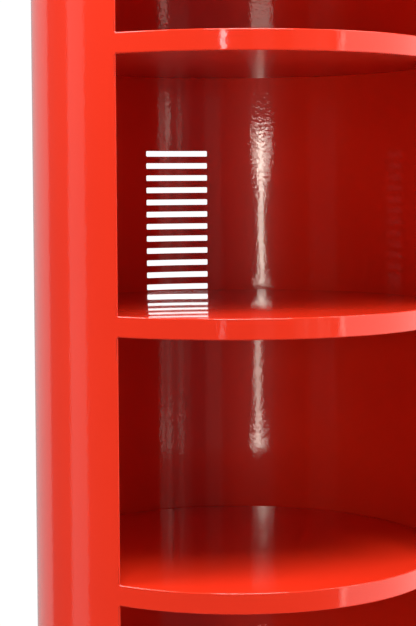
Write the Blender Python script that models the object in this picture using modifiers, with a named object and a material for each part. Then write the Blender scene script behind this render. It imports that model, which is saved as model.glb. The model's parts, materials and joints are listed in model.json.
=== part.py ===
"""Round open-fronted steel filing cabinet, five compartments high.

A rolled sheet shell (rear panel and two side panels) stands on four levelling feet. Double-skinned round
shelves divide it, and a rolled band closes the front of each shelf flush with the shell.
Units are metres. +Z is up, the open front faces -Y and the origin is on the floor under the axis.
"""

import math

import bmesh
import bpy

# Driving dimensions
RADIUS = 0.300  # outside of the shell and of the front bands
HEIGHT = 1.950  # floor to top
COMPARTMENTS = 5
SHELF_PITCH = 0.372  # shelf top to shelf top
SHELF_DEPTH = 0.0285  # thickness of a double-skinned shelf
SHEET = 0.0015
GAP = 0.0003  # between pieces that touch
OPENING_HALF_ANGLE = 51.5  # degrees from the front to each jamb
SEAM_ANGLE = 90.0  # degrees from the front to each vertical seam of the rear panel
FACET_ANGLE = 5.0  # degrees between the edges of every round sheet
GROUND_CLEARANCE = 0.012  # floor to the lower edge of the shell

HEM_ANGLE = 3.0  # width of the folded edge along each jamb, in degrees
HEM_OVERLAP = 0.0001  # lets the folded edge merge with the panel

VENT_COUNT = 12
VENT_PITCH = 0.020
VENT_HEIGHT = 0.009
VENT_LENGTH = 0.106
VENT_CORNER = 0.0015
VENT_ABOVE_SHELF = 0.0015
VENTED_COMPARTMENT = 3  # counted from 0 at the floor
VENT_CUTTER_DEPTH = 0.04
VENTED_SHELF_DROP = 0.0073  # makes the vented compartment a little taller than the others

STIFFENER_CROWN = 0.050
STIFFENER_FOOT = 0.020
STIFFENER_LENGTH = 0.480

CHANNEL_X = 0.170
CHANNEL_WIDTH = 0.040
CHANNEL_HEIGHT = 0.030
CHANNEL_LENGTH = 0.440
CHANNEL_SHEET = 0.002
FOOT_Y = 0.190

THREAD_RADIUS = 0.0049
NUT_BORE_RADIUS = 0.0052
NUT_FLATS = 0.017
NUT_HEIGHT = 0.008
FOOT_HOLE_RADIUS = 0.0056
STUD_HEAD_RADIUS = 0.0080
STUD_HEAD_HEIGHT = 0.0055
PAD_RADIUS = 0.022
PAD_NECK_RADIUS = 0.0125
PAD_EDGE_HEIGHT = 0.004
PAD_HEIGHT = 0.0115
SOCKET_FLOOR = 0.005
STUD_CLEARANCE = 0.006  # between the stud's end and the floor's underside
SMALL_ROUND_STEPS = 24
NUT_SIDES = 6

SMOOTH_ANGLE = 30.0  # degrees; sharper edges stay sharp
MERGE_DISTANCE = 0.00002

SHELL_INSIDE = RADIUS - SHEET
GAP_ANGLE = math.degrees(GAP / RADIUS)
DECK_RADIUS = SHELL_INSIDE * math.cos(math.radians(FACET_ANGLE / 2)) - GAP  # clears the shell's facets
ROUND_STEPS = round(360.0 / FACET_ANGLE)
FLOOR_LEVEL = HEIGHT - COMPARTMENTS * SHELF_PITCH
LEVELS = [FLOOR_LEVEL + k * SHELF_PITCH for k in range(COMPARTMENTS + 1)]
LEVELS[VENTED_COMPARTMENT] -= VENTED_SHELF_DROP
LEVEL_NAMES = ["floor"] + [f"shelf_{k}" for k in range(1, COMPARTMENTS)] + ["top"]

CORAL_RED = (0.85, 0.045, 0.012, 1.0)
ZINC = (0.62, 0.63, 0.64, 1.0)
BLACK_RUBBER = (0.02, 0.02, 0.02, 1.0)

# Finishes: colour, roughness, metallic
PAINT = (CORAL_RED, 0.18, 0.0)
PLATED = (ZINC, 0.32, 1.0)
RUBBER = (BLACK_RUBBER, 0.75, 0.0)


def clear_scene():
    for item in list(bpy.data.objects):
        bpy.data.objects.remove(item, do_unlink=True)


def new_collection(name):
    collection = bpy.data.collections.new(name)
    bpy.context.scene.collection.children.link(collection)
    return collection


def new_material(name, color, roughness, metallic):
    material = bpy.data.materials.new(name)
    material.use_nodes = True
    shader = material.node_tree.nodes["Principled BSDF"]
    shader.inputs["Base Color"].default_value = color
    shader.inputs["Roughness"].default_value = roughness
    shader.inputs["Metallic"].default_value = metallic
    return material


def add_object(name, mesh, collection, finish=None):
    item = bpy.data.objects.new(name, mesh)
    collection.objects.link(item)
    if finish:
        color, roughness, metallic = finish
        item.data.materials.clear()
        item.data.materials.append(new_material(f"{name}_finish", color, roughness, metallic))
    return item


def line_mesh(name, points):
    """A chain of edges through the given points."""
    mesh = bpy.data.meshes.new(name)
    mesh.from_pydata(points, [(k, k + 1) for k in range(len(points) - 1)], [])
    return mesh


def add_screw(item, angle_degrees, steps):
    screw = item.modifiers.new("Turn", "SCREW")
    screw.axis = "Z"
    screw.angle = math.radians(angle_degrees)
    screw.steps = steps
    screw.render_steps = steps
    screw.use_merge_vertices = True
    screw.merge_threshold = MERGE_DISTANCE


def add_solidify(item, thickness):
    """Turns a surface into a sheet whose thickness lies behind it."""
    solidify = item.modifiers.new("Sheet", "SOLIDIFY")
    solidify.thickness = thickness
    solidify.offset = -1.0
    solidify.use_even_offset = True


def add_boolean(item, cutter, operation="DIFFERENCE"):
    boolean = item.modifiers.new(f"{operation.title()}_{cutter.name}"[:60], "BOOLEAN")
    boolean.operation = operation
    boolean.solver = "EXACT"
    boolean.object = cutter


def smooth_by_angle():
    """A node group that shades faces smooth and keeps the edges beyond SMOOTH_ANGLE sharp."""
    group = bpy.data.node_groups.new("smooth_by_angle", "GeometryNodeTree")
    group.interface.new_socket("Geometry", in_out="INPUT", socket_type="NodeSocketGeometry")
    group.interface.new_socket("Geometry", in_out="OUTPUT", socket_type="NodeSocketGeometry")
    start = group.nodes.new("NodeGroupInput")
    end = group.nodes.new("NodeGroupOutput")
    faces = group.nodes.new("GeometryNodeSetShadeSmooth")
    edges = group.nodes.new("GeometryNodeSetShadeSmooth")
    edges.domain = "EDGE"
    edges.inputs["Shade Smooth"].default_value = False
    angle = group.nodes.new("GeometryNodeInputMeshEdgeAngle")
    sharper = group.nodes.new("FunctionNodeCompare")
    sharper.operation = "GREATER_THAN"
    sharper.inputs[1].default_value = math.radians(SMOOTH_ANGLE)
    group.links.new(angle.outputs["Unsigned Angle"], sharper.inputs[0])
    group.links.new(sharper.outputs["Result"], edges.inputs["Selection"])
    group.links.new(start.outputs["Geometry"], faces.inputs["Geometry"])
    group.links.new(faces.outputs["Geometry"], edges.inputs["Geometry"])
    group.links.new(edges.outputs["Geometry"], end.inputs["Geometry"])
    return group


def turned(name, profile, collection, finish, steps=ROUND_STEPS):
    """A full turn of a profile of (radius, height) points, which runs down its outer side."""
    points = [(radius, 0.0, height) for radius, height in profile]
    item = add_object(name, line_mesh(name, points), collection, finish)
    add_screw(item, 360.0, steps)
    return item


def rolled_sheet(name, radius, sheet, low, high, start, end, collection, finish=None):
    """A sheet rolled to an outer radius, from start to end degrees from the front (-Y), seen from above."""
    steps = 2 * max(1, round((end - start) / FACET_ANGLE / 2))
    direction = math.radians(start - 90.0)
    side = (radius * math.cos(direction), radius * math.sin(direction))
    item = add_object(name, line_mesh(name, [(*side, high), (*side, low)]), collection, finish)
    add_screw(item, end - start, steps)
    add_solidify(item, sheet)
    return item


def folded_sheet(name, section, length, sheet, collection, finish):
    """A sheet folded along a section of (x, z) points, extruded along Y about the middle."""
    mesh = bpy.data.meshes.new(name)
    shape = bmesh.new()
    corners = [shape.verts.new((x, -length / 2, z)) for x, z in section]
    edges = [shape.edges.new(pair) for pair in zip(corners, corners[1:])]
    swept = bmesh.ops.extrude_edge_only(shape, edges=edges)
    moved = [part for part in swept["geom"] if isinstance(part, bmesh.types.BMVert)]
    bmesh.ops.translate(shape, verts=moved, vec=(0.0, length, 0.0))
    bmesh.ops.recalc_face_normals(shape, faces=shape.faces)
    shape.to_mesh(mesh)
    shape.free()
    item = add_object(name, mesh, collection, finish)
    add_solidify(item, sheet)
    return item


def cylinder_mesh(name, radius, height, segments):
    """An upright prism standing on its own origin."""
    mesh = bpy.data.meshes.new(name)
    shape = bmesh.new()
    bmesh.ops.create_cone(
        shape, cap_ends=True, segments=segments, radius1=radius, radius2=radius, depth=height
    )
    bmesh.ops.translate(shape, verts=shape.verts, vec=(0.0, 0.0, height / 2))
    shape.to_mesh(mesh)
    shape.free()
    return mesh


def box_mesh(name, size, corner):
    """A centred box with its four edges along Y rounded."""
    mesh = bpy.data.meshes.new(name)
    shape = bmesh.new()
    bmesh.ops.create_cube(shape, size=1.0)
    bmesh.ops.scale(shape, verts=shape.verts, vec=size)
    along = [e for e in shape.edges if abs(e.verts[0].co.y - e.verts[1].co.y) > size[1] / 2]
    bmesh.ops.bevel(shape, geom=along, offset=corner, segments=2, affect="EDGES", profile=0.5)
    shape.to_mesh(mesh)
    shape.free()
    return mesh


def baked_mesh(item):
    """The mesh of an object with its modifiers applied."""
    evaluated = item.evaluated_get(bpy.context.evaluated_depsgraph_get())
    return bpy.data.meshes.new_from_object(evaluated)


def hide_cutters(cutters):
    for item in cutters.objects:
        item.hide_render = True
        item.display_type = "WIRE"


def rear_panel(parts, cutters):
    """The rear half of the shell, with a ladder of air slots behind one compartment."""
    panel = rolled_sheet(
        "rear_panel", RADIUS, SHEET, GROUND_CLEARANCE, HEIGHT,
        SEAM_ANGLE + GAP_ANGLE, 360.0 - SEAM_ANGLE - GAP_ANGLE, parts, PAINT,
    )
    slot = box_mesh("vent_slot", (VENT_LENGTH, VENT_CUTTER_DEPTH, VENT_HEIGHT), VENT_CORNER)
    first = LEVELS[VENTED_COMPARTMENT] + VENT_ABOVE_SHELF + VENT_HEIGHT / 2
    for k in range(VENT_COUNT):
        cutter = add_object(f"vent_cutter_{k + 1}", slot, cutters)
        cutter.location = (0.0, SHELL_INSIDE, first + k * VENT_PITCH)
        add_boolean(panel, cutter)


def side_panel(name, sign, parts, cutters):
    """A side of the shell from the rear seam to the jamb, where its edge is folded back inside."""
    if sign < 0:
        start, end = 360.0 - SEAM_ANGLE, 360.0 - OPENING_HALF_ANGLE
        fold_start, fold_end = end - HEM_ANGLE, end
    else:
        start, end = OPENING_HALF_ANGLE, SEAM_ANGLE
        fold_start, fold_end = start, start + HEM_ANGLE
    panel = rolled_sheet(name, RADIUS, SHEET, GROUND_CLEARANCE, HEIGHT, start, end, parts, PAINT)
    for k in range(COMPARTMENTS):
        low = LEVELS[k] + GAP
        high = LEVELS[k + 1] - SHELF_DEPTH - GAP
        fold = rolled_sheet(
            f"{name}_fold_{k + 1}", SHELL_INSIDE + HEM_OVERLAP, SHEET + HEM_OVERLAP, low, high,
            fold_start, fold_end, cutters,
        )
        add_boolean(panel, fold, "UNION")


def front_band(name, low, high, parts):
    """The rolled strip across the opening, flush with the shell."""
    half_angle = OPENING_HALF_ANGLE - GAP_ANGLE
    rolled_sheet(name, RADIUS, SHEET, low, high, -half_angle, half_angle, parts, PAINT)


def deck(name, top, parts):
    """The upper skin of a shelf: a round tray with its rim turned down."""
    rim = top - SHELF_DEPTH + SHEET + GAP
    profile = [
        (0.0, top), (DECK_RADIUS, top), (DECK_RADIUS, rim),
        (DECK_RADIUS - SHEET, rim), (DECK_RADIUS - SHEET, top - SHEET), (0.0, top - SHEET),
    ]
    turned(name, profile, parts, PAINT)


def underside(name, top, parts):
    """The lower skin of a shelf: a flat round plate."""
    item = add_object(name, cylinder_mesh(name, DECK_RADIUS, SHEET, ROUND_STEPS), parts, PAINT)
    item.location.z = top - SHELF_DEPTH


def stiffener(name, top, parts):
    """A hat channel from side to side between the two skins of a shelf."""
    high = top - SHEET - GAP
    low = top - SHELF_DEPTH + SHEET + GAP + SHEET
    half = STIFFENER_CROWN / 2
    foot = half + STIFFENER_FOOT
    section = [(-foot, low), (-half, low), (-half, high), (half, high), (half, low), (foot, low)]
    item = folded_sheet(name, section, STIFFENER_LENGTH, SHEET, parts, PAINT)
    item.rotation_euler.z = math.radians(90.0)


def shelf(name, top, band_low, parts):
    deck(f"{name}_deck", top, parts)
    underside(f"{name}_underside", top, parts)
    stiffener(f"{name}_stiffener", top, parts)
    front_band(f"{name}_front_band", band_low, top, parts)


def base_channel(name, x, parts, cutters):
    """A folded channel under the floor, open upwards, that carries two feet. Returns its lower level."""
    high = FLOOR_LEVEL - SHELF_DEPTH - GAP
    low = high - CHANNEL_HEIGHT
    half = CHANNEL_WIDTH / 2
    section = [(-half, high), (-half, low), (half, low), (half, high)]
    item = folded_sheet(name, section, CHANNEL_LENGTH, CHANNEL_SHEET, parts, PAINT)
    item.location.x = x
    for y in (-FOOT_Y, FOOT_Y):
        end = "front" if y < 0 else "rear"
        hole_name = f"{name}_{end}_hole"
        hole = cylinder_mesh(hole_name, FOOT_HOLE_RADIUS, 3 * CHANNEL_SHEET, SMALL_ROUND_STEPS)
        cutter = add_object(hole_name, hole, cutters)
        cutter.location = (x, y, low - CHANNEL_SHEET)
        add_boolean(item, cutter)
    return low


def nut_mesh(cutters):
    """A plain hexagon nut standing on its own origin."""
    corner_radius = NUT_FLATS / 2 / math.cos(math.pi / NUT_SIDES)
    hexagon = cylinder_mesh("nut_blank", corner_radius, NUT_HEIGHT, NUT_SIDES)
    bore = cylinder_mesh("nut_drill", NUT_BORE_RADIUS, 3 * NUT_HEIGHT, SMALL_ROUND_STEPS)
    blank = add_object("nut_blank", hexagon, cutters)
    drill = add_object("nut_drill", bore, cutters)
    drill.location.z = -NUT_HEIGHT
    add_boolean(blank, drill)
    mesh = baked_mesh(blank)
    bpy.data.objects.remove(blank, do_unlink=True)
    bpy.data.objects.remove(drill, do_unlink=True)
    return mesh


def levelling_foot(corner, x, y, channel_low, nut, parts):
    """A threaded foot: its pad and stud screw in and out of a nut fixed inside the base channel."""
    joint_origin = bpy.data.objects.new(f"foot_{corner}_axis", None)
    parts.objects.link(joint_origin)
    joint_origin.location = (x, y, 0.0)

    pad_profile = [
        (0.0, SOCKET_FLOOR), (STUD_HEAD_RADIUS + GAP, SOCKET_FLOOR), (STUD_HEAD_RADIUS + GAP, PAD_HEIGHT),
        (PAD_NECK_RADIUS, PAD_HEIGHT), (PAD_RADIUS, PAD_EDGE_HEIGHT), (PAD_RADIUS, 0.0), (0.0, 0.0),
    ]
    pad = turned(f"foot_pad_{corner}", pad_profile, parts, RUBBER, SMALL_ROUND_STEPS)
    pad.parent = joint_origin

    head_low = SOCKET_FLOOR + GAP
    shoulder = head_low + STUD_HEAD_HEIGHT
    stud_top = FLOOR_LEVEL - SHELF_DEPTH - STUD_CLEARANCE
    stud_profile = [
        (0.0, stud_top), (THREAD_RADIUS, stud_top), (THREAD_RADIUS, shoulder),
        (STUD_HEAD_RADIUS, shoulder), (STUD_HEAD_RADIUS, head_low), (0.0, head_low),
    ]
    stud = turned(f"foot_stud_{corner}", stud_profile, parts, PLATED, SMALL_ROUND_STEPS)
    stud.parent = joint_origin

    weld_nut = add_object(f"weld_nut_{corner}", nut.copy(), parts, PLATED)
    weld_nut.location = (x, y, channel_low + CHANNEL_SHEET + GAP)
    lock_nut = add_object(f"lock_nut_{corner}", nut.copy(), parts, PLATED)
    lock_nut.location = (x, y, channel_low - GAP - NUT_HEIGHT)


def main():
    clear_scene()
    parts = new_collection("round_filing_cabinet")
    cutters = new_collection("cutters")

    rear_panel(parts, cutters)
    side_panel("left_side_panel", -1, parts, cutters)
    side_panel("right_side_panel", 1, parts, cutters)
    for name, top in zip(LEVEL_NAMES, LEVELS):
        band_low = GROUND_CLEARANCE if name == "floor" else top - SHELF_DEPTH
        shelf(name, top, band_low, parts)

    nut = nut_mesh(cutters)
    for side, x in (("left", -CHANNEL_X), ("right", CHANNEL_X)):
        channel_low = base_channel(f"base_channel_{side}", x, parts, cutters)
        for end, y in (("front", -FOOT_Y), ("rear", FOOT_Y)):
            levelling_foot(f"{end}_{side}", x, y, channel_low, nut, parts)

    smoothing = smooth_by_angle()
    for item in parts.objects:
        if item.type == "MESH":
            item.modifiers.new("Smooth", "NODES").node_group = smoothing
    hide_cutters(cutters)


main()
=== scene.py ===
"""Looks for the round open-fronted filing cabinet: rolled glossy red sheet, double-skinned shelves, feet."""

import json
import math

import bmesh
import bpy
from mathutils import Matrix, Vector

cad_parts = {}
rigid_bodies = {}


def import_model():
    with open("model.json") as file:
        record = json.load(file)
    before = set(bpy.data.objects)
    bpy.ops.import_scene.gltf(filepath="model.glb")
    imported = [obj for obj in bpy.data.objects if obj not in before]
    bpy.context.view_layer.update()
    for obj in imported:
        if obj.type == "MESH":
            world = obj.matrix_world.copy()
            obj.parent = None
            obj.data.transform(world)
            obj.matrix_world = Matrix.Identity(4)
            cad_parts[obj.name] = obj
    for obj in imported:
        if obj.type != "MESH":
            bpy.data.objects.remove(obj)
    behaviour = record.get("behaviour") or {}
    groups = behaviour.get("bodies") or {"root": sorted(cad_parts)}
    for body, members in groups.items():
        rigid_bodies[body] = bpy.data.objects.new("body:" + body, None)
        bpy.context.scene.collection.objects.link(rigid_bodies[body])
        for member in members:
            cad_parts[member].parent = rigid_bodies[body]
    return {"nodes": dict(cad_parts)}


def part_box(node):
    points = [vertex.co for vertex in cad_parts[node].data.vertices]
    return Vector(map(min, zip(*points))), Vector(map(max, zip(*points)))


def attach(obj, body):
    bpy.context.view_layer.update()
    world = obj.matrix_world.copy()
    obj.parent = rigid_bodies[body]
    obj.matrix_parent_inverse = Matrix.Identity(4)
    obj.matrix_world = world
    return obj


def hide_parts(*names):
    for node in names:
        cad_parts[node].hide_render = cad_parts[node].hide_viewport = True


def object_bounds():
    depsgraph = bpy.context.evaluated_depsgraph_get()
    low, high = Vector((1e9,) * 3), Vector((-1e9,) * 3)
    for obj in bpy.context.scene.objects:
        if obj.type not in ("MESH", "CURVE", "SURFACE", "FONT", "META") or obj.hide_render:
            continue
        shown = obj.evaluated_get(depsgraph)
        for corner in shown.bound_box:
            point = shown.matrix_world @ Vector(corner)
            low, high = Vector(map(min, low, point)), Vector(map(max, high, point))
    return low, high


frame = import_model()
cad_low, cad_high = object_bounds()

# ---------------------------------------------------------------------------
# Sizes read from the frame
# ---------------------------------------------------------------------------
LEVEL_NAMES = ["floor", "shelf_1", "shelf_2", "shelf_3", "shelf_4", "top"]
DECK_TOP = [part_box(f"{name}_deck")[1].z for name in LEVEL_NAMES]
SHELF_BOTTOM = [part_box(f"{name}_underside")[0].z for name in LEVEL_NAMES]
RADIUS = cad_high.x
SHELL_LOW, SHELL_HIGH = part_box("rear_panel")[0].z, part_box("rear_panel")[1].z
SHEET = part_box("shelf_1_underside")[1].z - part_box("shelf_1_underside")[0].z
SHELL_INSIDE = RADIUS - SHEET
JAMB_ANGLE = math.acos(-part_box("left_side_panel")[0].y / RADIUS)
SEAM_ANGLE = math.pi / 2
FEET = ["front_left", "front_right", "rear_left", "rear_right"]

# ---------------------------------------------------------------------------
# Fine sizes that the frame does not hold, in metres
# ---------------------------------------------------------------------------
# Values closer than this count as equal
CLOSE = 1e-6

COLUMN_WIDTH = math.radians(1.25) * RADIUS
ROW_HEIGHT = 0.06
EDGE_RADIUS = 0.0017
EDGE_SEGMENTS = 4
WINDOW_CORNER = 0.0012
CORNER_STEPS = 6
HEM_WIDTH = 0.0157

CREVICE = 0.0017
BAND_OVERLAP = math.radians(1.0)
BEND_RADIUS = 0.0015
BEND_STEPS = 5
SKIN_INSET = 0.03
DECK_FILLET = 0.001
LOWER_CHAMFER = 0.0005
ROUND_STEPS = 288

# Each deck's coat roughness, then its bow: one over its radius in metres, and how far back its top lies
DECK_FINISHES = {
    "floor": (0.06, 0.03, 0.0),
    "shelf_1": (0.08, 0.04, 0.2),
    "shelf_2": (0.10, 0.02, 0.75),
    "shelf_3": (0.04, 0.145, 0.0),
    "shelf_4": (0.06, 0.03, 0.0),
    "top": (0.06, 0.02, 0.0),
}

VENT_COUNT = 12
VENT_PITCH = 0.020
VENT_HEIGHT = 0.009
VENT_LENGTH = 0.106
VENT_ABOVE_SHELF = 0.0015
VENT_CORNER = 0.0015
VENT_EDGE = 0.0004
VENTED_LEVEL = 3

THREAD_PITCH = 0.0015
THREAD_DEPTH = 0.0008
THREAD_ROWS = 8
STUD_RADIUS = 0.0049
STUD_STEPS = 32
STUD_HEAD_ROUND = 0.0008
STUD_HEAD_SUNK = 0.0007
NUT_CHAMFER = 0.0011
NUT_CHAMFER_STEPS = 4
NUT_FACE_SHARE = 0.95
NUT_BORE = 0.0052
NUT_COUNTERSINK = 0.0006
NUT_STEPS = 96
PAD_RIBS = 16
PAD_RIB_DEPTH = 0.0007
PAD_NECK_SHARE = 0.57
PAD_SKIRT_STEPS = 6
PAD_SKIRT_POWER = 1.6
PAD_SKIRT_TOP = 0.92
PAD_SKIRT_FALL = 0.52
PAD_RIM_TOP = 0.34
PAD_RIM_LOW = 0.28
PAD_RIM_STEP = 0.0006
PAD_ROUND = 0.0008
PAD_STEPS = 96
SOCKET_GAP = 0.0003
SOCKET_ROUND = 0.0004
CHANNEL_SHEET = 0.002
CHANNEL_BEND = 0.004
CHANNEL_BEND_STEPS = 4
FOOT_HOLE = 0.0056


# ---------------------------------------------------------------------------
# Rolled sheets, made flat and then rolled up
# ---------------------------------------------------------------------------
def key_steps(keys, widest):
    """The keys in order, with evenly spaced values between them no further apart than the widest step."""
    ordered = sorted(set(round(key, 7) for key in keys))
    values = [ordered[0]]
    for low, high in zip(ordered, ordered[1:]):
        count = max(1, math.ceil((high - low) / widest - CLOSE))
        values += [low + (high - low) * (k + 1) / count for k in range(count)]
    return values


def flat_sheet(width_range, height_range, windows, corner, extra_columns=()):
    """A flat sheet with rectangular windows whose corners are filled by an arc."""
    columns, rows = [*width_range, *extra_columns], list(height_range)
    for left, right, low, high in windows:
        columns += [left, left + corner, right - corner, right]
        rows += [low, low + corner, high - corner, high]
    columns = key_steps(columns, COLUMN_WIDTH)
    rows = key_steps(rows, ROW_HEIGHT)
    sheet = bmesh.new()
    corners = {}

    def corner_at(u, v):
        key = (round(u, 6), round(v, 6))
        if key not in corners:
            corners[key] = sheet.verts.new((u, v, 0.0))
        return corners[key]

    def in_window(u, v):
        return any(left < u < right and low < v < high for left, right, low, high in windows)

    for left, right in zip(columns, columns[1:]):
        for low, high in zip(rows, rows[1:]):
            if not in_window((left + right) / 2, (low + high) / 2):
                loop = [(left, low), (right, low), (right, high), (left, high)]
                sheet.faces.new([corner_at(u, v) for u, v in loop])
    for left, right, low, high in windows:
        for u, along in ((left, 1.0), (right, -1.0)):
            for v, up in ((low, 1.0), (high, -1.0)):
                centre = (u + along * corner, v + up * corner)
                arc = []
                for k in range(CORNER_STEPS + 1):
                    turn = math.pi / 2 * k / CORNER_STEPS
                    across = centre[0] - along * corner * math.sin(turn)
                    arc.append(corner_at(across, centre[1] - up * corner * math.cos(turn)))
                pivot = corner_at(u, v)
                for first, second in zip(arc, arc[1:]):
                    fan = [pivot, first, second] if along * up > 0 else [pivot, second, first]
                    sheet.faces.new(fan)
    return sheet


def thicken(sheet, thickness):
    """Adds the back of a flat sheet, below it, and the walls between."""
    copy = bmesh.ops.duplicate(sheet, geom=sheet.verts[:] + sheet.edges[:] + sheet.faces[:])
    back = [part for part in copy["geom"] if isinstance(part, bmesh.types.BMVert)]
    back_faces = [part for part in copy["geom"] if isinstance(part, bmesh.types.BMFace)]
    pairs = copy["vert_map"]
    bmesh.ops.translate(sheet, verts=back, vec=(0.0, 0.0, -thickness))
    rims = [edge for edge in sheet.edges if edge.is_boundary and edge.verts[0].co.z > -thickness / 2]
    for edge in rims:
        loop = edge.link_loops[0]
        start, end = loop.vert, loop.link_loop_next.vert
        sheet.faces.new([end, start, pairs[start], pairs[end]])
    bmesh.ops.reverse_faces(sheet, faces=back_faces)
    sheet.normal_update()


def round_rims(sheet, radius, at_height, kept_sharp):
    """Rounds the edges between the walls and one flat side, apart from those that kept_sharp picks."""
    least_turn = 1.0
    chosen = []
    for edge in sheet.edges:
        off_side = max(abs(corner.co.z - at_height) for corner in edge.verts)
        if off_side < CLOSE and edge.calc_face_angle(0.0) > least_turn and not kept_sharp(edge):
            chosen.append(edge)
    rounding = {"segments": EDGE_SEGMENTS, "profile": 0.5, "affect": "EDGES", "clamp_overlap": False}
    bmesh.ops.bevel(sheet, geom=chosen, offset=radius, **rounding)
    sheet.normal_update()


def flat_normals(sheet):
    """One normal for each face corner: exact on flat sides, blended over rounded rims."""
    up = Vector((0.0, 0.0, 1.0))
    slight = 0.0001

    def kind(face):
        tilt = abs(face.normal.z)
        if tilt > 1.0 - slight:
            return "side"
        return "wall" if tilt < slight else "round"

    kinds = {face: kind(face) for face in sheet.faces}
    result = []
    for face in sheet.faces:
        for loop in face.loops:
            if kinds[face] == "side":
                result.append(face.normal.copy())
                continue
            neighbours = loop.vert.link_faces
            sides = [other.normal for other in neighbours if kinds[other] == "side"]
            walls = [other.normal for other in neighbours if kinds[other] == "wall"]
            rounds = [other.normal for other in neighbours if kinds[other] == "round"]
            if kinds[face] == "wall":
                chosen = walls
            elif sides:
                chosen = [sides[0]]
            else:
                chosen = walls or rounds
            total = Vector((0.0, 0.0, 0.0))
            for normal in chosen:
                total += normal
            result.append(total.normalized() if total.length > 0 else up)
    return result


def roll_up(sheet, name, radius, material):
    """Wraps a flat sheet, whose front is at height 0, round an upright cylinder of that radius."""
    normals = flat_normals(sheet)
    rolled = []
    loops = [loop for face in sheet.faces for loop in face.loops]
    for loop, normal in zip(loops, normals):
        turn = loop.vert.co.x / radius
        x = normal.x * math.cos(turn) + normal.z * math.sin(turn)
        y = normal.x * math.sin(turn) - normal.z * math.cos(turn)
        rolled.append(Vector((x, y, normal.y)))
    for corner in sheet.verts:
        turn = corner.co.x / radius
        distance = radius + corner.co.z
        corner.co = Vector((distance * math.sin(turn), -distance * math.cos(turn), corner.co.y))
    for face in sheet.faces:
        face.smooth = True
    mesh = bpy.data.meshes.new(name)
    sheet.to_mesh(mesh)
    sheet.free()
    mesh.normals_split_custom_set(rolled)
    return place(name, mesh, material)


def place(name, mesh, material):
    """An object in the scene with its one material."""
    item = bpy.data.objects.new(name, mesh)
    bpy.context.scene.collection.objects.link(item)
    mesh.materials.append(material)
    return item


def settle(item, body, slot, *nodes):
    """The piece rides on a body and stands for the nodes; its slot is not used."""
    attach(item, body)
    if nodes:
        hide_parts(*nodes)
    return item


# ---------------------------------------------------------------------------
# Materials
# ---------------------------------------------------------------------------
class Finish:
    """A material being made: its node tree, its shader and the place that its textures follow."""

    def __init__(self, name):
        self.material = bpy.data.materials.new(name)
        self.material.use_nodes = True
        self.nodes = self.material.node_tree.nodes
        self.link = self.material.node_tree.links.new
        self.shader = self.nodes["Principled BSDF"]
        self.place = self.nodes.new("ShaderNodeTexCoord").outputs["Object"]

    def constants(self, **values):
        """Sets the shader's constant inputs, named as in Blender with underscores for spaces."""
        for name, value in values.items():
            self.shader.inputs[name.replace("_", " ")].default_value = value

    def noise(self, scale, detail, roughness=0.5):
        """A cloud of noise over the piece."""
        texture = self.nodes.new("ShaderNodeTexNoise")
        texture.inputs["Scale"].default_value = scale
        texture.inputs["Detail"].default_value = detail
        texture.inputs["Roughness"].default_value = roughness
        self.link(self.place, texture.inputs["Vector"])
        return texture.outputs["Fac"]

    def tint(self, amount, dark, light, span=(0.0, 1.0)):
        """A base colour between two linear colours, mixed where the amount is within the span."""
        ramp = self.nodes.new("ShaderNodeValToRGB")
        for element, position, color in zip(ramp.color_ramp.elements, span, (dark, light)):
            element.position = position
            element.color = (*color, 1.0)
        self.link(amount, ramp.inputs["Fac"])
        self.link(ramp.outputs["Color"], self.shader.inputs["Base Color"])

    def bump(self, height, distance, strength=1.0, over=None):
        """A bump of that height, laid over an earlier one if there is one."""
        node = self.nodes.new("ShaderNodeBump")
        node.inputs["Strength"].default_value = strength
        node.inputs["Distance"].default_value = distance
        self.link(height, node.inputs["Height"])
        if over:
            self.link(over, node.inputs["Normal"])
        return node.outputs["Normal"]

    def dome_height(self, crown, behind):
        """A height that falls with the square of the distance from a point behind the cabinet's axis."""
        from_top = self.nodes.new("ShaderNodeVectorMath")
        from_top.operation = "SUBTRACT"
        from_top.inputs[1].default_value = (0.0, behind, 0.0)
        self.link(self.place, from_top.inputs[0])
        level = self.nodes.new("ShaderNodeVectorMath")
        level.operation = "MULTIPLY"
        level.inputs[1].default_value = (1.0, 1.0, 0.0)
        self.link(from_top.outputs["Vector"], level.inputs[0])
        square = self.nodes.new("ShaderNodeVectorMath")
        square.operation = "DOT_PRODUCT"
        self.link(level.outputs["Vector"], square.inputs[0])
        self.link(level.outputs["Vector"], square.inputs[1])
        height = self.nodes.new("ShaderNodeMath")
        height.operation = "MULTIPLY"
        height.inputs[1].default_value = -crown / 2
        self.link(square.outputs["Value"], height.inputs[0])
        return height.outputs["Value"]


def gloss_paint(name, peel_depth, ripple_depth, coat_roughness, shade=1.0, dome=None):
    """Sprayed red enamel: a coloured coat under a clear gloss, with orange peel and slow ripples.

    The dome, a crown and where its top lies behind the axis, bends the mirror image as a bowed sheet does. A
    shade below 1 darkens the base colour: painted shade.
    """
    paint = Finish(name)
    paint.constants(Roughness=0.32, Specular_IOR_Level=0.12)
    paint.constants(Coat_Weight=1.0, Coat_Roughness=coat_roughness, Coat_IOR=1.5)
    # A shade below 1 darkens both colours: painted shade, for pieces that face down into shadow
    deep = (0.80 * shade, 0.029 * shade, 0.0085 * shade)
    pale = (0.84 * shade, 0.034 * shade, 0.0100 * shade)
    paint.tint(paint.noise(3.0, 3.0), deep, pale, span=(0.3, 0.7))
    surface = paint.bump(paint.noise(200.0, 1.5, roughness=0.45), peel_depth)
    surface = paint.bump(paint.noise(14.0, 1.0), ripple_depth, over=surface)
    if dome:
        surface = paint.bump(paint.dome_height(*dome), 1.0, over=surface)
    paint.link(surface, paint.shader.inputs["Normal"])
    paint.link(surface, paint.shader.inputs["Coat Normal"])
    return paint.material


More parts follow.
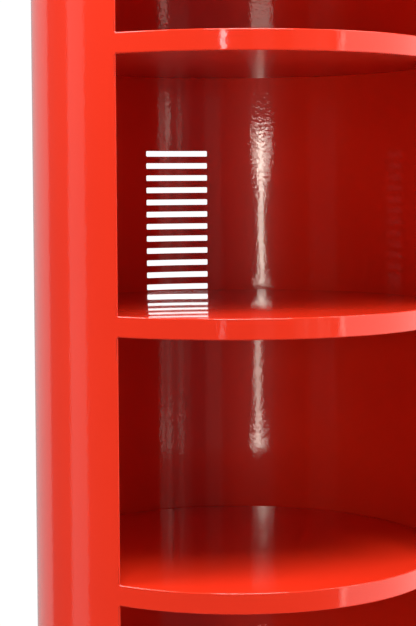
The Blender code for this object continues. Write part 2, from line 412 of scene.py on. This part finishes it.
def zinc_plate():
    """Dull bright plating with faint mottling."""
    plate = Finish("zinc_plate")
    plate.constants(Metallic=1.0)
    mottle = plate.noise(400.0, 4.0)
    plate.tint(mottle, (0.42, 0.43, 0.44), (0.70, 0.71, 0.72))
    dullness = plate.nodes.new("ShaderNodeMapRange")
    dullness.inputs["To Min"].default_value = 0.25
    dullness.inputs["To Max"].default_value = 0.45
    plate.link(mottle, dullness.inputs["Value"])
    plate.link(dullness.outputs["Result"], plate.shader.inputs["Roughness"])
    return plate.material


def black_rubber():
    """Matt moulded rubber with a fine grain."""
    rubber = Finish("black_rubber")
    rubber.constants(Roughness=0.72)
    grain = rubber.noise(900.0, 5.0)
    rubber.tint(grain, (0.012, 0.012, 0.012), (0.030, 0.029, 0.028))
    rubber.link(rubber.bump(grain, 0.0001, strength=0.6), rubber.shader.inputs["Normal"])
    return rubber.material


PAINT = gloss_paint("gloss_red_paint", 0.00012, 0.00010, 0.06)
# The same paint darkened for the shelves' undersides: painted shade, with a rougher coat
LOWER_PAINT_PAINTED_SHADE = gloss_paint("gloss_red_paint_underneath_painted_shade", 0.00008, 0.00006, 0.33, shade=0.62)
ZINC = zinc_plate()
RUBBER = black_rubber()


# ---------------------------------------------------------------------------
# The shell
# ---------------------------------------------------------------------------
def front_shell():
    """Side panels and front bands as one painted skin, with a window for each compartment."""
    half, seam = JAMB_ANGLE * RADIUS, SEAM_ANGLE * RADIUS
    windows = [(-half, half, low, high) for low, high in zip(DECK_TOP, SHELF_BOTTOM[1:])]
    sheet = flat_sheet((-seam, seam), (SHELL_LOW, SHELL_HIGH), windows, WINDOW_CORNER)
    thicken(sheet, SHEET)

    def on_seam(edge):
        return all(abs(abs(corner.co.x) - seam) < CLOSE for corner in edge.verts)

    round_rims(sheet, EDGE_RADIUS, 0.0, on_seam)
    item = roll_up(sheet, "front_shell", RADIUS, PAINT)
    bands = [f"{name}_front_band" for name in LEVEL_NAMES]
    settle(item, "cabinet", "gloss_red_paint", "left_side_panel", "right_side_panel", *bands)


def rear_shell():
    """The rear half of the shell with its ladder of air slots."""
    middle = math.pi * RADIUS
    to_seam = middle - SEAM_ANGLE * RADIUS
    first = DECK_TOP[VENTED_LEVEL] + VENT_ABOVE_SHELF
    slots = []
    for k in range(VENT_COUNT):
        low = first + k * VENT_PITCH
        slots.append((middle - VENT_LENGTH / 2, middle + VENT_LENGTH / 2, low, low + VENT_HEIGHT))
    sheet = flat_sheet((middle - to_seam, middle + to_seam), (SHELL_LOW, SHELL_HIGH), slots, VENT_CORNER)
    thicken(sheet, SHEET)

    def in_slots(edge):
        near_slots = all(abs(corner.co.x - middle) < VENT_LENGTH for corner in edge.verts)
        return near_slots and all(SHELL_LOW < corner.co.y < SHELL_HIGH for corner in edge.verts)

    def on_seam(edge):
        return all(abs(abs(corner.co.x - middle) - to_seam) < CLOSE for corner in edge.verts)

    round_rims(sheet, VENT_EDGE, -SHEET, lambda edge: not in_slots(edge))
    round_rims(sheet, VENT_EDGE, 0.0, lambda edge: not in_slots(edge))
    round_rims(sheet, EDGE_RADIUS, 0.0, lambda edge: in_slots(edge) or on_seam(edge))
    item = roll_up(sheet, "rear_shell", RADIUS, PAINT)
    settle(item, "cabinet", "gloss_red_paint", "rear_panel")


def jamb_hems():
    """The sheet folded back inside along both jambs of each window."""
    inside = SHELL_INSIDE
    for k, (low, high) in enumerate(zip(DECK_TOP, SHELF_BOTTOM[1:])):
        for side, sign in (("left", -1.0), ("right", 1.0)):
            nose = sign * JAMB_ANGLE * inside
            far = nose + sign * HEM_WIDTH
            ends = (low + WINDOW_CORNER, high - WINDOW_CORNER)
            leaf = flat_sheet((min(nose, far), max(nose, far)), ends, [], 0.0)
            thicken(leaf, SHEET)
            round_rims(leaf, EDGE_RADIUS, -SHEET, lambda edge: False)
            item = roll_up(leaf, f"{side}_jamb_hem_{k + 1}", inside, PAINT)
            settle(item, "cabinet", "gloss_red_paint")


# ---------------------------------------------------------------------------
# Shelves
# ---------------------------------------------------------------------------
def outline_radius(turn):
    """The skins of a shelf touch the front band in the opening and stop short of the wall elsewhere."""
    from_front = abs((turn + math.pi / 2 + math.pi) % (2 * math.pi) - math.pi)
    if from_front < JAMB_ANGLE + BAND_OVERLAP:
        return SHELL_INSIDE
    return SHELL_INSIDE - CREVICE


def tray(name, profile, material):
    """A round tray from a profile of (inset from the outline, height) points, listed from the middle out."""
    def set_in(inset):
        return lambda turn: outline_radius(turn) - inset

    rings = [(set_in(inset), height) for inset, height in profile]
    item = turned(name, rings, ROUND_STEPS, Vector(), material, sharp_angle=50.0)
    weighted = item.modifiers.new("Normals", "WEIGHTED_NORMAL")
    weighted.keep_sharp = True
    weighted.weight = 100
    return item


def bend(radius, height):
    """The points of a quarter-round bend from the flat down into the rim."""
    points = []
    for k in range(BEND_STEPS + 1):
        turn = math.pi / 2 * k / BEND_STEPS
        points.append((radius * (1 - math.sin(turn)), height - radius * (1 - math.cos(turn))))
    return points


def shelf(name, top, bottom, coat_roughness, dome):
    """The two skins of a level: a deck with a turned-down rim, and a lower skin with a broken edge."""
    paint = gloss_paint(f"gloss_red_paint_{name}", 0.000012, 0.00003, coat_roughness, dome=dome)
    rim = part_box(f"{name}_deck")[0].z
    inside = top - SHEET
    deck_profile = [(SKIN_INSET, top)] + bend(BEND_RADIUS, top) + [(0.0, rim), (SHEET, rim)]
    deck_profile += [(SHEET, inside - DECK_FILLET), (SHEET + DECK_FILLET, inside), (SKIN_INSET, inside)]
    deck = tray(f"{name}_deck_skin", deck_profile, paint)
    settle(deck, "cabinet", "gloss_red_paint", f"{name}_deck")
    near, edge = LOWER_CHAMFER * 0.3, LOWER_CHAMFER
    low_profile = [(SKIN_INSET, bottom + SHEET), (0.0, bottom + SHEET), (0.0, bottom + edge)]
    low_profile += [(near, bottom + near), (edge, bottom), (SKIN_INSET, bottom)]
    # The lower skin takes the darkened paint: painted shade on the underside
    lower = tray(f"{name}_lower_skin", low_profile, LOWER_PAINT_PAINTED_SHADE)
    settle(lower, "cabinet", "gloss_red_paint", f"{name}_underside")


# ---------------------------------------------------------------------------
# Base: channels, nuts and levelling feet
# ---------------------------------------------------------------------------
def centre_of(node):
    """The middle of a node's outline, seen from above, at height 0."""
    low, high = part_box(node)
    return Vector(((low.x + high.x) / 2, (low.y + high.y) / 2, 0.0))


def turned(name, rings, steps, centre, material, sharp_angle=40.0, closed_loop=False):
    """A round piece from (radius, height) rings, where a radius may be a function of the turn."""
    shape = bmesh.new()
    corners = []
    for radius, height in rings:
        ring = []
        for k in range(steps):
            turn = 2 * math.pi * k / steps
            distance = radius(turn) if callable(radius) else radius
            from_centre = (distance * math.cos(turn), distance * math.sin(turn), height)
            ring.append(shape.verts.new(centre + Vector(from_centre)))
        corners.append(ring)
    pairs = list(zip(corners, corners[1:]))
    if closed_loop:
        pairs.append((corners[-1], corners[0]))
    for first, second in pairs:
        for k in range(steps):
            after = (k + 1) % steps
            shape.faces.new([first[k], second[k], second[after], first[after]])
    if not closed_loop:
        shape.faces.new(corners[0])
        shape.faces.new(list(reversed(corners[-1])))
    return finished(name, shape, sharp_angle, material)


def finished(name, shape, sharp_angle, material):
    """Turns a bmesh into a smooth-shaded piece that keeps its sharper edges."""
    for face in shape.faces:
        face.smooth = True
    mesh = bpy.data.meshes.new(name)
    shape.to_mesh(mesh)
    shape.free()
    mesh.set_sharp_from_angle(angle=math.radians(sharp_angle))
    return place(name, mesh, material)


def base_channel(side):
    """A channel folded from one sheet, open upwards, with rounded bends and a hole for each foot."""
    node = f"base_channel_{side}"
    low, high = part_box(node)
    centre = centre_of(node)
    flat = (high.x - low.x) / 2 - CHANNEL_BEND
    arc = math.pi / 2 * CHANNEL_BEND
    edge = flat + arc + (high.z - low.z) - CHANNEL_BEND
    length = high.y - low.y
    holes = []
    for end in ("front", "rear"):
        along = centre_of(f"lock_nut_{end}_{side}").y - centre.y
        holes.append((-FOOT_HOLE, FOOT_HOLE, along - FOOT_HOLE, along + FOOT_HOLE))
    steps = range(CHANNEL_BEND_STEPS + 1)
    bends = [sign * (flat + arc * k / CHANNEL_BEND_STEPS) for sign in (-1.0, 1.0) for k in steps]
    sheet = flat_sheet((-edge, edge), (-length / 2, length / 2), holes, FOOT_HOLE, bends)
    thicken(sheet, CHANNEL_SHEET)
    for corner in sheet.verts:
        across, along, depth = corner.co
        sign = math.copysign(1.0, across)
        beyond = abs(across) - flat
        turn = min(max(beyond / CHANNEL_BEND, 0.0), math.pi / 2)
        run = min(abs(across), flat) + CHANNEL_BEND * math.sin(turn)
        rise = CHANNEL_BEND * (1 - math.cos(turn)) + max(beyond - arc, 0.0)
        x = sign * (run + depth * math.sin(turn))
        corner.co = (centre.x + x, centre.y + along, low.z + rise - depth * math.cos(turn))
    bmesh.ops.reverse_faces(sheet, faces=sheet.faces[:])
    item = finished(f"{node}_folded", sheet, 35.0, PAINT)
    settle(item, "cabinet", "gloss_red_paint", node)


def nut(name):
    """A hexagon nut whose corners are turned off at both faces and whose bore is countersunk."""
    low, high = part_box(name)
    flats = high.y - low.y
    height = high.z - low.z

    def hexagon(limit):
        def radius(turn):
            from_flat = (turn - math.pi / 6) % (math.pi / 3) - math.pi / 6
            return min(flats / 2 / math.cos(from_flat), limit)
        return radius

    chamfer = []
    for k in range(NUT_CHAMFER_STEPS + 1):
        limit = flats / 2 * NUT_FACE_SHARE + k * NUT_CHAMFER / 2
        chamfer.append((hexagon(limit), k * NUT_CHAMFER / NUT_CHAMFER_STEPS))
    rings = [(radius, low.z + depth) for radius, depth in chamfer]
    rings += [(radius, high.z - depth) for radius, depth in reversed(chamfer)]
    mouth = NUT_BORE + NUT_COUNTERSINK
    rings += [(mouth, high.z), (NUT_BORE, high.z - NUT_COUNTERSINK), (NUT_BORE, low.z + height / 2)]
    rings += [(NUT_BORE, low.z + NUT_COUNTERSINK), (mouth, low.z)]
    item = turned(f"{name}_piece", rings, NUT_STEPS, centre_of(name), ZINC, closed_loop=True)
    settle(item, "cabinet", "zinc_plate", name)


def stud(corner):
    """The foot's threaded stud: a rolled thread above a round head that sits in the pad."""
    node = f"foot_stud_{corner}"
    low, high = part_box(node)
    head_radius = (high.x - low.x) / 2
    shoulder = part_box(f"foot_pad_{corner}")[1].z - STUD_HEAD_SUNK
    core = STUD_RADIUS - THREAD_DEPTH
    rings = [(head_radius - STUD_HEAD_ROUND, low.z), (head_radius, low.z + STUD_HEAD_ROUND)]
    rings += [(head_radius, shoulder - STUD_HEAD_ROUND), (head_radius - STUD_HEAD_ROUND, shoulder)]
    rings += [(core, shoulder)]
    count = int((high.z - shoulder) / THREAD_PITCH * THREAD_ROWS)
    for k in range(1, count):
        height = shoulder + (high.z - shoulder) * k / count
        rings.append((thread_radius(height, shoulder, high.z), height))
    rings.append((core, high.z))
    rings.reverse()
    item = turned(f"{node}_piece", rings, STUD_STEPS, centre_of(node), ZINC)
    settle(item, f"foot_{corner}", "zinc_plate", node)


def thread_radius(height, start, end):
    """The radius of a rolled thread at a height, as a function of the turn; it runs out at both ends."""
    run_out = min(1.0, (height - start) / THREAD_PITCH, (end - height) / THREAD_PITCH)

    def radius(turn):
        phase = height / THREAD_PITCH - turn / (2 * math.pi)
        crest = 0.5 + 0.5 * math.cos(2 * math.pi * phase)
        return STUD_RADIUS - THREAD_DEPTH * (1 - crest * run_out)
    return radius


def pad(corner):
    """The moulded rubber foot: a ribbed skirt with rounded edges and a socket for the stud's head."""
    node = f"foot_pad_{corner}"
    low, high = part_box(node)
    outer = (high.x - low.x) / 2
    stud_low, stud_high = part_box(f"foot_stud_{corner}")
    socket = (stud_high.x - stud_low.x) / 2 + SOCKET_GAP
    neck = outer * PAD_NECK_SHARE
    skirt = high.z - low.z

    def ribbed(base):
        return lambda turn: base - PAD_RIB_DEPTH * (0.5 + 0.5 * math.cos(PAD_RIBS * turn))

    rings = [(socket, stud_low.z - SOCKET_GAP), (socket, high.z - SOCKET_ROUND)]
    rings += [(socket + SOCKET_ROUND, high.z), (neck - PAD_ROUND, high.z), (neck, high.z - PAD_ROUND)]
    for k in range(1, PAD_SKIRT_STEPS):
        share = k / PAD_SKIRT_STEPS
        radius = neck + (outer - neck) * share ** PAD_SKIRT_POWER
        rings.append((ribbed(radius), low.z + skirt * (PAD_SKIRT_TOP - PAD_SKIRT_FALL * share)))
    rings += [(outer - PAD_RIM_STEP, low.z + skirt * PAD_RIM_TOP), (outer, low.z + skirt * PAD_RIM_LOW)]
    rings += [(outer, low.z + PAD_ROUND), (outer - PAD_ROUND, low.z)]
    item = turned(f"{node}_piece", rings, PAD_STEPS, centre_of(node), RUBBER)
    settle(item, f"foot_{corner}", "black_rubber", node)


# ---------------------------------------------------------------------------
# The cabinet
# ---------------------------------------------------------------------------
front_shell()
rear_shell()
jamb_hems()
for level, deck_top, shelf_bottom in zip(LEVEL_NAMES, DECK_TOP, SHELF_BOTTOM):
    deck_roughness, *deck_dome = DECK_FINISHES[level]
    shelf(level, deck_top, shelf_bottom, deck_roughness, deck_dome)
for foot in FEET:
    nut(f"weld_nut_{foot}")
    nut(f"lock_nut_{foot}")
    stud(foot)
    pad(foot)
base_channel("left")
base_channel("right")

# The frame's own solids take the same finishes
for node_name, node in frame["nodes"].items():
    node.data.materials.clear()
    if node_name.startswith("foot_pad"):
        node.data.materials.append(RUBBER)
    elif "nut" in node_name or "stud" in node_name:
        node.data.materials.append(ZINC)
    else:
        node.data.materials.append(PAINT)


# ---------------------------------------------------------------------------
# Floor, light and camera
# ---------------------------------------------------------------------------
FLOOR_RADIUS = 2.12
CAMERA_AZIMUTH = math.radians(-19.29)
CAMERA_DISTANCE = 2.475
CAMERA_HEIGHT = 1.3793
CAMERA_YAW = 0.0169
CAMERA_PITCH = -0.0504
CAMERA_ROLL = 0.0059
CAMERA_LENS = 95.59
CAMERA_SHIFT = -0.0767

WHITE = (1.0, 1.0, 1.0)
WARM = (1.0, 0.96, 0.90)
CREAM = (1.0, 0.93, 0.80)

# Each light's angle from the camera's direction, distance from the axis, height and height aimed at,
# its width and height, its radiance and its colour
ROOM_LIGHTS = {
    "key": (12.0, 1.5, 4.0, 1.1, 1.8, 1.4, 17.0, WHITE),
    "overhead_left": (-80.0, 2.2, 3.6, 1.1, 2.2, 1.8, 9.0, WHITE),
    "overhead_right": (95.0, 2.0, 3.8, 1.1, 1.4, 1.4, 4.0, WHITE),
    "left_strip": (-93.0, 2.5, 1.4, 1.4, 0.62, 3.2, 0.55, WHITE),
    "rear_left": (-143.0, 2.7, 1.4, 1.4, 2.0, 3.0, 0.4, WHITE),
    "right_wall": (87.0, 2.6, 1.3, 1.3, 3.3, 3.2, 1.4, WARM),
    "right_edge": (57.0, 2.6, 1.3, 1.3, 0.07, 3.0, 2.5, CREAM),
    "slat_haze": (39.5, 2.75, 1.15, 1.15, 0.95, 1.7, 0.15, CREAM),
    "slat_top": (46.0, 2.7, 2.05, 2.05, 0.22, 0.3, 1.5, CREAM),
    "right_dim": (14.5, 2.8, 1.1, 1.1, 0.50, 1.5, 0.14, CREAM),
    "behind_slots": (183.7, 3.0, 1.55, 1.3, 0.7, 0.7, 1.6, WHITE),
}

# Three upright strips of light at the right: angle, width and the radiance of the head
SLATS = {"1": (48.5, 0.10, 0.7), "2": (44.0, 0.14, 1.8), "3": (36.0, 0.10, 0.5)}

# A bright doorway opposite the rear wall: its upright streak, with a wide head and foot
DOORWAY_LIGHTS = {
    "doorway_top": (-18.0, 2.9, 1.96, 1.96, 0.80, 0.20, 3.0, CREAM),
    "doorway_head_1": (-16.6, 2.9, 1.525, 1.525, 0.66, 0.06, 10.0, CREAM),
    "doorway_head_2": (-16.6, 2.9, 1.46, 1.46, 0.56, 0.07, 9.0, CREAM),
    "doorway_head_3": (-16.6, 2.9, 1.39, 1.39, 0.36, 0.07, 7.0, CREAM),
    "doorway_side": (-26.0, 2.9, 1.45, 1.45, 0.05, 0.38, 2.0, CREAM),
    "doorway_core": (-16.2, 2.9, 1.265, 1.265, 0.17, 0.55, 15.0, CREAM),
    "doorway_waist": (-15.5, 2.9, 1.01, 1.01, 0.44, 0.06, 5.0, CREAM),
    "doorway_low": (-13.6, 2.9, 0.62, 0.62, 0.19, 0.48, 8.5, CREAM),
    "doorway_foot": (-14.4, 2.9, 0.41, 0.41, 0.56, 0.08, 9.0, CREAM),
}

# Pieces that show no image of the doorway
CLEAR_OF_DOORWAY = ("front_shell", "shelf_2_deck_skin", "shelf_4_lower_skin")

# A lamp that shows only as a glint on the front bands
LAMP_LIGHTS = {
    "lamp": (-5.7, 2.8, 1.82, 1.5, 0.11, 0.26, 13.0, WHITE),
    "lamp_stand": (-7.0, 2.8, 0.93, 0.93, 0.12, 0.14, 2.0, WHITE),
}


def stage_floor():
    """A round pale floor, which glossy reflections leave out."""
    shape = bmesh.new()
    bmesh.ops.create_circle(shape, cap_ends=True, segments=96, radius=FLOOR_RADIUS)
    mesh = bpy.data.meshes.new("floor")
    shape.to_mesh(mesh)
    shape.free()
    finish = Finish("studio_floor")
    finish.constants(Base_Color=(0.86, 0.86, 0.85, 1.0), Roughness=0.7)
    floor = place("floor", mesh, finish.material)
    floor.visible_glossy = False


def around(angle_from_camera, distance, height):
    """A place round the cabinet's axis, by its angle from the camera's direction, positive to the right."""
    turn = CAMERA_AZIMUTH + math.radians(angle_from_camera)
    return Vector((distance * math.sin(turn), -distance * math.cos(turn), height))


def area_light(name, angle, distance, height, aim_height, width, tall, radiance, color):
    """A rectangular light aimed at the cabinet's axis, of a given brightness whatever its size."""
    data = bpy.data.lights.new(name, "AREA")
    data.shape = "RECTANGLE"
    data.size, data.size_y = width, tall
    data.energy = radiance * math.pi * width * tall
    data.color = color
    light = bpy.data.objects.new(name, data)
    bpy.context.scene.collection.objects.link(light)
    light.location = around(angle, distance, height)
    aim = Vector((0.0, 0.0, aim_height)) - light.location
    light.rotation_euler = aim.to_track_quat("-Z", "Y").to_euler()
    light.visible_camera = False
    return light


def linked_lights(name, lights, state, pieces):
    """Lights that reach only the pieces, or with the state EXCLUDE all but the pieces."""
    receivers = bpy.data.collections.new(name)
    for number, piece in enumerate(pieces):
        receivers.objects.link(bpy.data.objects[piece])
        receivers.collection_objects[number].light_linking.link_state = state
    for light_name, settings in lights.items():
        light = area_light(light_name, *settings)
        light.light_linking.receiver_collection = receivers


def surroundings(seen, mirrored, ambient):
    """White all round: one strength for the camera, one in reflections and one for everything else."""
    world = bpy.data.worlds.new("studio")
    bpy.context.scene.world = world
    world.use_nodes = True
    nodes, links = world.node_tree.nodes, world.node_tree.links
    path = nodes.new("ShaderNodeLightPath")
    last = None
    for strength, ray in ((ambient, None), (mirrored, "Is Glossy Ray"), (seen, "Is Camera Ray")):
        background = nodes.new("ShaderNodeBackground") if last else nodes["Background"]
        background.inputs["Strength"].default_value = strength
        background.inputs["Color"].default_value = (*WHITE, 1.0)
        if last is None:
            last = background.outputs["Background"]
            continue
        mix = nodes.new("ShaderNodeMixShader")
        links.new(path.outputs[ray], mix.inputs["Fac"])
        links.new(last, mix.inputs[1])
        links.new(background.outputs["Background"], mix.inputs[2])
        last = mix.outputs["Shader"]
    links.new(last, nodes["World Output"].inputs["Surface"])


def camera():
    """The camera, a little above the middle and to the left of the front."""
    data = bpy.data.cameras.new("camera")
    data.lens = CAMERA_LENS
    data.shift_y = CAMERA_SHIFT
    data.clip_end = 100.0
    item = bpy.data.objects.new("camera", data)
    bpy.context.scene.collection.objects.link(item)
    spot = Matrix.Translation(around(0.0, CAMERA_DISTANCE, CAMERA_HEIGHT))
    heading = Matrix.Rotation(CAMERA_AZIMUTH + CAMERA_YAW, 4, "Z")
    tilt = Matrix.Rotation(math.pi / 2 + CAMERA_PITCH, 4, "X")
    roll = Matrix.Rotation(-CAMERA_ROLL, 4, "Z")
    item.matrix_world = spot @ heading @ tilt @ roll
    bpy.context.scene.camera = item


stage_floor()
surroundings(seen=1.05, mirrored=0.075, ambient=0.11)
for light_name, settings in ROOM_LIGHTS.items():
    area_light(light_name, *settings)
for number, (angle, width, glow) in SLATS.items():
    area_light(f"slat_{number}", angle, 2.7, 1.05, 1.05, width, 1.3, 0.3, CREAM)
    area_light(f"slat_head_{number}", angle, 2.68, 1.57, 1.57, width, 0.2, glow, CREAM)
    area_light(f"slat_foot_{number}", angle, 2.68, 0.50, 0.50, width, 0.18, 0.8, CREAM)
linked_lights("lit_by_doorway", DOORWAY_LIGHTS, "EXCLUDE", CLEAR_OF_DOORWAY)
linked_lights("lit_by_lamp", LAMP_LIGHTS, "INCLUDE", ("front_shell",))
camera()
bpy.context.scene.view_settings.view_transform = "Standard"
